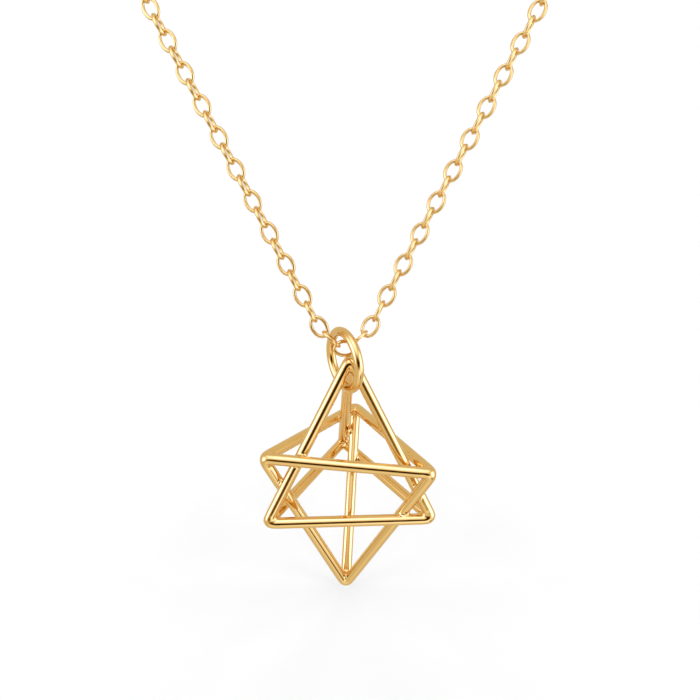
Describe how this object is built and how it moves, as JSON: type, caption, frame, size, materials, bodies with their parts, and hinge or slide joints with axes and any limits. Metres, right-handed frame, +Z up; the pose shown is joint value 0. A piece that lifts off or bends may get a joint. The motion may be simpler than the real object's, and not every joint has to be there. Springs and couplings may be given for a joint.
{
  "type": "merkaba pendant on a cable chain",
  "caption": "Wire double tetrahedron pendant hanging from a round jump ring on a closed loop of fine oval cable chain with a plain clasp at the nape.",
  "frame": {"origin": "middle of the clasp, where the loop rests on the nape of the neck", "axes": "+Z up, the pendant hangs at the front towards -Y, +X to the right as seen from the front"},
  "size_m": [0.1166, 0.1355, 0.1308],
  "materials": {
    "polished_gold": "polished yellow gold plate over brass"
  },
  "bodies": {
    "necklace": {"chain_left": "polished_gold", "chain_right": "polished_gold", "clasp": "polished_gold"},
    "ring": {"jump_ring": "polished_gold"},
    "pendant": {"merkaba_frame": "polished_gold"}
  },
  "joints": [
    {"name": "ring_swings_on_chain", "type": "hinge", "parent": "necklace", "child": "ring", "pos_m": [0, -0.1263, -0.09657], "axis": [1, 0, 0], "range_deg": [-25, 25]},
    {"name": "pendant_swings_on_ring", "type": "hinge", "parent": "ring", "child": "pendant", "pos_m": [0.00011, -0.12663, -0.10149], "axis": [-0.4848, 0.8746, 0], "range_deg": [-14, 25]}
  ]
}
